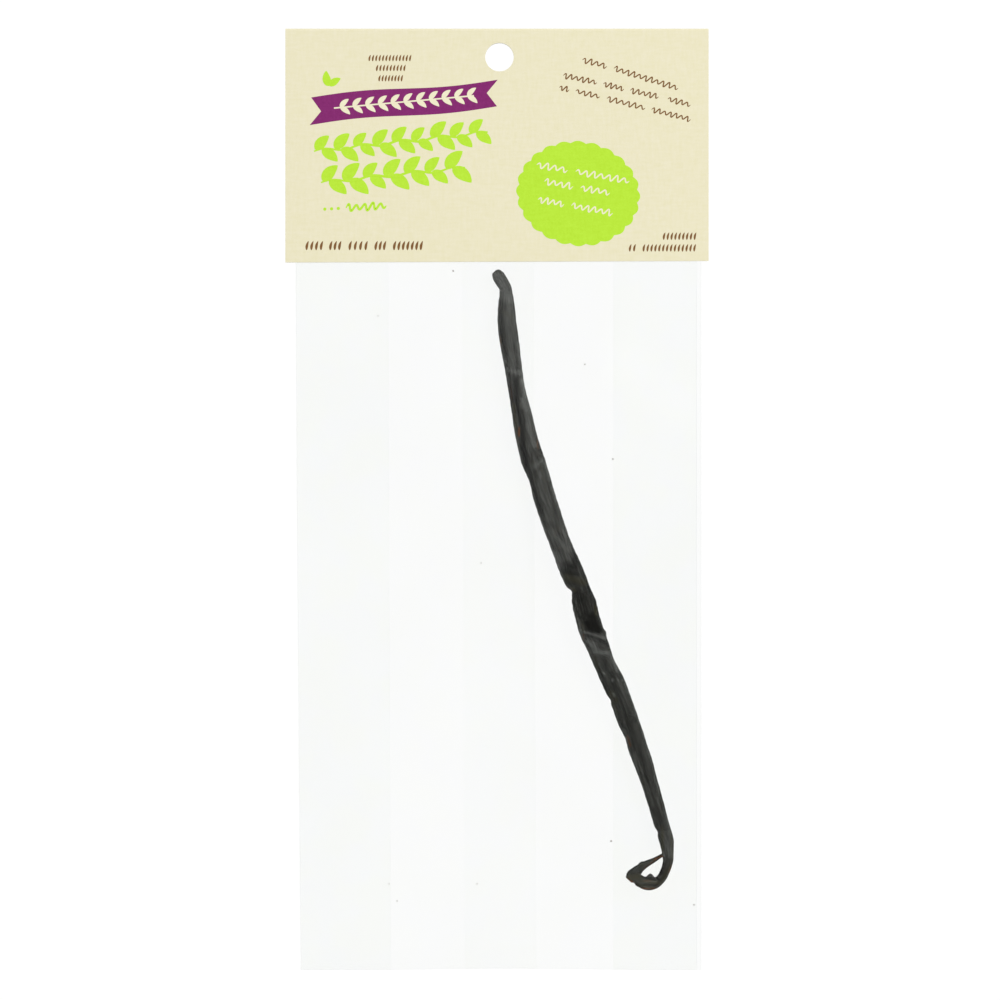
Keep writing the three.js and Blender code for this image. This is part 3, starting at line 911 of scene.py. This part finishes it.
def paint_card(card):
    """1 on the printed outer faces and the fold's outside, 0 on the bare core and inner faces."""
    _, y, z = points_mm(card).T
    fold_y = CARD_TOP - CARD_DEPTH / 2
    round_fold = np.hypot(np.maximum(y - fold_y, 0.0), z - CARD_DEPTH / 2)
    printed = np.where(y > fold_y, round_fold > CARD_DEPTH / 2 - 0.07, (z > CARD_DEPTH - 0.07) | (z < 0.07))
    paint(card, "printed", printed.astype(float))


def linen(m):
    """The card's faint printed linen look: short threads across and along."""
    across = m.cloud(m.place(scale=(260.0, 1150.0, 1.0)), 1.0, 3.0, 0.6)
    down = m.cloud(m.place(scale=(1150.0, 260.0, 1.0)), 1.0, 3.0, 0.6)
    return m.maths("MULTIPLY", m.maths("ADD", across, down), 0.5)


def card_board():
    m = Nodes("cream_card")
    where = m.place()
    threads = linen(m)
    cream = m.blend_colours(m.spread(threads, 0.36, 0.64), CARD_DARKER, CARD_LIGHTER)
    fibre = m.cloud(where, 1500.0, 4.0, 0.6)
    core = m.blend_colours(fibre, (0.70, 0.68, 0.61, 1), (0.86, 0.84, 0.78, 1))
    printed = m.spread(m.attribute("printed"), 0.5, 0.9)
    normal = m.bump(m.maths("ADD", fibre, threads), 0.12, 0.0001)
    m.surface(m.blend_colours(printed, core, cream), 0.62, PAPER_GLOSS, normal)
    return m.material


# The print: plain shapes and lines in the colours of the front panel

PRINT_FACE = CARD_DEPTH - 0.004
PRINT_INK = 0.022

# Rows of small grains in the place of small type: (x, y) of the left end's foot, length and height
GRAIN_ROWS = [
    (-36.3, 123.6, 12.4, 1.9), (-34.2, 120.8, 8.7, 1.9), (-33.5, 117.9, 7.2, 1.9),
    (-54.1, 70.3, 5.4, 2.7), (-47.4, 70.3, 3.8, 2.7), (-42.0, 70.3, 6.0, 2.7), (-34.6, 70.3, 3.6, 2.7),
    (-29.4, 70.3, 8.8, 2.7),
    (46.7, 73.2, 9.8, 2.2), (37.1, 69.9, 2.4, 2.2), (41.0, 69.9, 15.4, 2.2),
]
# Brown scribbled waves: start, end, wave height, wave length
BROWN_WAVES = [
    ((24.1, 124.0), (31.0, 122.2), 0.85, 1.75), ((33.0, 121.6), (51.1, 116.0), 0.85, 1.8),
    ((18.7, 119.6), (28.2, 117.6), 0.8, 1.75), ((30.0, 117.2), (35.8, 115.8), 0.8, 1.7),
    ((37.6, 115.4), (45.6, 113.6), 0.8, 1.75), ((48.2, 113.0), (54.6, 111.3), 0.8, 1.7),
    ((17.6, 116.2), (20.4, 115.6), 0.75, 1.5), ((22.2, 115.2), (29.0, 113.6), 0.75, 1.7),
    ((31.0, 113.1), (41.8, 110.4), 0.8, 1.75), ((43.6, 110.0), (54.6, 107.2), 0.75, 1.7),
]
# Cream waves on the lime seal
CREAM_WAVES = [
    ((11.2, 94.4), (19.9, 92.9), 0.95, 2.1), ((22.2, 92.5), (37.3, 89.8), 0.95, 2.1),
    ((13.4, 89.7), (21.4, 88.3), 0.9, 2.0), ((23.6, 87.9), (31.8, 86.5), 0.9, 2.0),
    ((11.6, 84.6), (18.9, 83.3), 0.9, 2.0), ((21.0, 82.9), (32.6, 80.8), 0.9, 2.0),
]
SEAL_CENTRE = (22.9, 86.3)
SEAL_REACH = (17.3, 14.6)
SEAL_SCALLOPS = 24


def ink_strip(name, path, widths, layer=0, lift=0.0):
    """A printed stroke along a path of points, as wide as given at each, with a thin coat of ink.
    In a tight bend the inner half stops at the bend's centre, so the stroke never folds over itself."""
    path = np.array(path, dtype=float)
    widths = np.asarray(widths, dtype=float)
    headings = np.gradient(path, axis=0)
    steps = np.linalg.norm(headings, axis=1)
    headings /= steps[:, None]
    sides = np.stack([-headings[:, 1], headings[:, 0]], axis=1)
    turns = np.gradient(np.unwrap(np.arctan2(headings[:, 1], headings[:, 0]))) / steps
    left_room = np.where(turns > 0, 0.8 / np.maximum(turns, 1e-6), 1e6)
    right_room = np.where(turns < 0, 0.8 / np.maximum(-turns, 1e-6), 1e6)
    left_half = np.minimum(widths / 2, left_room)
    right_half = np.minimum(widths / 2, right_room)

    def place(u, v):
        ring = np.rint(v * (len(path) - 1)).astype(int)
        across = np.where(u > 0.5, left_half[ring] * (2 * u - 1), right_half[ring] * (2 * u - 1))
        spot = path[ring] + sides[ring] * across[:, None]
        height = np.full(len(u), PRINT_FACE + layer * PRINT_INK)
        return np.stack([spot[:, 0], spot[:, 1], height], axis=1)

    strip = shaped_grid(name, 2, len(path) - 1, place)
    return coat(strip, lift)


def coat(piece, lift=0.0):
    """Gives a flat print the thickness of its ink, upwards. Lift keeps overlapping strokes' faces apart."""
    edit(piece, merge_points)
    normals = np.empty(len(piece.data.polygons) * 3)
    piece.data.polygons.foreach_get("normal", normals)
    if normals.reshape(-1, 3)[:, 2].mean() < 0:
        edit(piece, bpy.ops.mesh.flip_normals)
    ink = piece.modifiers.new("coat of ink", "SOLIDIFY")
    ink.thickness = (PRINT_INK + lift) * MM
    ink.offset = 1.0
    apply_modifiers(piece)
    return piece


def dot(x, y, size):
    """A round dot from its left end at (x, y)."""
    radius = size / 2
    turns = np.linspace(0.0, math.pi / 2, 7)
    steps = np.concatenate([radius * (1.0 - np.cos(turns)), size - radius * (1.0 - np.cos(turns[::-1]))])
    near_end = clamp01(np.minimum(steps, size - steps) / radius)
    widths = size * np.sqrt(np.maximum(1.0 - (1.0 - near_end) ** 2, 0.0))
    return ink_strip("dot", [(x + step, y) for step in steps], widths)


def scribble(start, end, height, wavelength, thickness, layer=0):
    """A run of slanted waves like quick handwriting, without letters."""
    start, end = np.array(start), np.array(end)
    run = end - start
    length = np.linalg.norm(run)
    heading = run / length
    side = np.array([-heading[1], heading[0]])
    waves = max(1, round(length / wavelength))
    steps = np.linspace(0.0, 1.0, waves * 20 + 1)
    phase = 2 * np.pi * steps * waves
    swell = 0.78 + 0.22 * np.sin(steps * waves * 2.1 + start[0])
    rise = height * swell * np.sin(phase)
    path = [start + run * t + heading * 0.3 * r + side * r for t, r in zip(steps, rise)]
    taper = clamp01(np.minimum(steps, 1.0 - steps) * length / 0.4)
    return ink_strip("scribble", path, thickness * (0.35 + 0.65 * taper), layer)


def leaf(x, y, length, width, tilt, layer=0, lift=0.0):
    """A pointed leaf from its stalk end at (x, y)."""
    turn = math.radians(tilt)
    steps = np.linspace(0.0, 1.0, 17)
    widths = width * np.sin(np.pi * steps ** 0.8) ** 0.75
    curl = 0.07 * length * np.sin(np.pi * steps)
    reach = length * steps
    path = np.stack([x + reach * math.cos(turn) - curl * math.sin(turn),
                     y + reach * math.sin(turn) + curl * math.cos(turn)], axis=1)
    return ink_strip("leaf", path, np.maximum(widths, 0.0), layer, lift)


def vine(start, end, leaves, length, width, stem):
    """A stem with plump leaves above and below it in turn, as a row of print."""
    start, end = np.array(start), np.array(end)
    run = end - start
    tilt = math.degrees(math.atan2(run[1], run[0]))
    steps = np.linspace(0.0, 1.0, 80)
    side = np.array([-run[1], run[0]]) / np.linalg.norm(run)
    sway = 0.5 * np.sin(2 * np.pi * steps * leaves / 2)
    path = [start + run * t + side * s for t, s in zip(steps, sway)]
    parts = [ink_strip("stem", path, stem * (0.6 + 0.4 * np.sin(np.pi * steps)), lift=0.012)]
    for k in range(leaves):
        t = (k + 0.1) / leaves
        spot = start + run * t + side * 0.5 * math.sin(2 * math.pi * t * leaves / 2)
        grow = 1.0 + 0.10 * math.sin(2.3 * k)
        for direction in (1.0, -1.0):
            shift = run / np.linalg.norm(run) * (0.5 - 0.5 * direction) * 1.6
            parts.append(leaf(spot[0] + shift[0], spot[1] + shift[1], length * grow, width * grow,
                              tilt + direction * 42.0, lift=0.004 + 0.004 * direction))
    return parts


def ribbon():
    """The slanted purple ribbon with swallow-tailed ends."""
    count = 61
    lower_left, upper_left = np.array([-52.8, 105.6]), np.array([-52.4, 113.4])
    lower_right, upper_right = np.array([0.0, 110.9]), np.array([0.2, 118.4])

    def place(u, v):
        tail = np.abs(u - 0.5) * 2
        low = mix(lower_left, lower_right, v[:, None])
        high = mix(upper_left, upper_right, v[:, None])
        spot = mix(low, high, u[:, None])
        notch = 3.0 * (1.0 - tail)
        spot[:, 0] += notch * clamp01(1.0 - v * 8) - notch * clamp01((v - 0.875) * 8)
        spot[:, 1] += 0.55 * np.sin(2 * np.pi * v)
        return np.stack([spot[:, 0], spot[:, 1], np.full(len(u), PRINT_FACE)], axis=1)

    return coat(shaped_grid("ribbon", 8, count - 1, place))


def scalloped_seal():
    """The lime seal: an oval with a scalloped rim."""
    deselect_all()
    bpy.ops.mesh.primitive_circle_add(vertices=360, radius=1.0, fill_type="TRIFAN")
    seal = bpy.context.object
    spots = points_mm(seal) * MM
    reach = np.hypot(spots[:, 0], spots[:, 1])
    angle = np.arctan2(spots[:, 1], spots[:, 0])
    rim = 1.0 + 0.045 * np.abs(np.sin(angle * SEAL_SCALLOPS / 2)) - 0.03
    tilt = math.radians(-9.0)
    x = reach * rim * np.cos(angle) * SEAL_REACH[0]
    y = reach * rim * np.sin(angle) * SEAL_REACH[1]
    placed = np.stack([
        SEAL_CENTRE[0] + x * math.cos(tilt) - y * math.sin(tilt),
        SEAL_CENTRE[1] + x * math.sin(tilt) + y * math.cos(tilt),
        np.full(len(x), PRINT_FACE)], axis=1)
    move_points(seal, placed)
    return coat(seal)


def grains(x, y, length, height):
    """A row of upright, slightly leaning grains."""
    count = max(2, round(length / (height * 0.5)))
    spacing = length / count
    return [leaf(x + spacing * (k + 0.3), y, height, height * 0.27, 78.0) for k in range(count)]


def make_prints():
    brown = [grain for row in GRAIN_ROWS for grain in grains(*row)]
    brown += [scribble(*values, 0.36) for values in BROWN_WAVES]
    lime = vine((-51.6, 98.2), (-2.6, 103.6), 9, 5.6, 3.0, 0.7)
    lime += vine((-49.6, 89.4), (-9.0, 93.6), 7, 6.2, 3.3, 0.7)
    lime += [dot(-49.0 + 1.9 * k, 81.9 + 0.1 * k, 0.9) for k in range(3)]
    lime += [scribble((-42.6, 82.2), (-31.2, 82.9), 1.1, 2.2, 0.65)]
    lime += [leaf(-47.4, 116.6, 4.4, 2.3, 100.0, lift=0.006), leaf(-47.2, 116.6, 3.8, 2.0, 35.0)]
    lime += [scalloped_seal()]
    cream = [scribble(*values, 0.42, layer=1) for values in CREAM_WAVES]
    sprig_start, sprig_end = np.array([-46.0, 110.4]), np.array([-6.5, 113.9])
    stalk = [mix(sprig_start, sprig_end, t) for t in np.linspace(0, 1, 30)]
    cream += [ink_strip("sprig", stalk, np.full(30, 0.42), layer=1, lift=0.012)]
    for k in range(11):
        spot = mix(sprig_start, sprig_end, (k + 0.5) / 11)
        for direction in (1.0, -1.0):
            cream.append(leaf(spot[0], spot[1], 3.4, 1.45, 5.0 + direction * 40.0, layer=1,
                              lift=0.004 + 0.004 * direction))
    return {"brown": brown, "purple": [ribbon()], "lime": lime, "cream": cream}


INKS = {
    "brown": ((0.180, 0.078, 0.020, 1), (0.240, 0.118, 0.040, 1)),
    "purple": ((0.200, 0.013, 0.130, 1), (0.238, 0.020, 0.158, 1)),
    "lime": ((0.455, 0.750, 0.030, 1), (0.500, 0.820, 0.046, 1)),
    "cream": ((0.8070, 0.7605, 0.5333, 1), (0.8714, 0.8308, 0.6105, 1)),
}


def ink(name):
    """Flat printing ink that lets the card's linen look through a little."""
    m = Nodes("ink_" + name)
    darker, lighter = INKS[name]
    speckle = m.cloud(m.place(), 2400.0, 2.0, 0.6)
    weave = m.maths("ADD", m.maths("MULTIPLY", linen(m), 0.6), m.maths("MULTIPLY", speckle, 0.4))
    m.surface(m.blend_colours(m.spread(weave, 0.38, 0.62), darker, lighter), 0.55, PAPER_GLOSS)
    return m.material


# The stage

PHOTO_WIDTH = 282.22
PHOTO_MIDDLE = (0.85, -0.14)
LENS = 150.0
SENSOR = 36.0
SHARP_PLANE = 0.8
FLOOR_TONE = (0.03, 0.03, 0.03, 1)
WHITE = (1, 1, 1, 1)
STUDIO_LIGHT = 0.72
KEY_PLACE = (3.0, 1.35, 2.85)
KEY_SIZE = 1.5
KEY_POWER = 99.0


def make_stage():
    deselect_all()
    bpy.ops.mesh.primitive_plane_add(size=4.0)
    floor = bpy.context.object
    floor.name = "floor"
    m = Nodes("white_floor")
    shader = m.surface(FLOOR_TONE, 0.9, 0.0)
    shader.inputs["Emission Color"].default_value = WHITE
    shader.inputs["Emission Strength"].default_value = 1.0
    floor.data.materials.append(m.material)

    world = bpy.data.worlds.new("white studio")
    world.use_nodes = True
    background = world.node_tree.nodes["Background"]
    background.inputs["Color"].default_value = WHITE
    background.inputs["Strength"].default_value = STUDIO_LIGHT
    bpy.context.scene.world = world

    bpy.ops.object.light_add(type="AREA", location=KEY_PLACE)
    key = bpy.context.object
    key.data.size = KEY_SIZE
    key.data.energy = KEY_POWER
    key.visible_glossy = False
    key.rotation_euler = (Vector((0, 0, 0)) - key.location).to_track_quat("-Z", "Y").to_euler()

    bpy.ops.object.camera_add()
    camera = bpy.context.object
    camera.data.lens = LENS
    camera.data.sensor_width = SENSOR
    distance = PHOTO_WIDTH * LENS / SENSOR
    camera.location = (PHOTO_MIDDLE[0] * MM, PHOTO_MIDDLE[1] * MM, (SHARP_PLANE + distance) * MM)
    camera.data.clip_start = 0.01
    bpy.context.scene.camera = camera
    bpy.context.scene.view_settings.view_transform = "Standard"
    bpy.context.scene.cycles.transparent_max_bounces = 48


pod = make_pod()
dress(pod, pod_skin(), "bag")
film = make_film()
dress(film, film_clear(), "bag")
specks = make_specks()
dress(specks, speck_crumb(), "bag")
card = make_card()
dress(card, card_board(), "header_card")
for ink_name, marks in make_prints().items():
    dress(join(marks, "print_" + ink_name), ink(ink_name), "header_card")
make_stage()
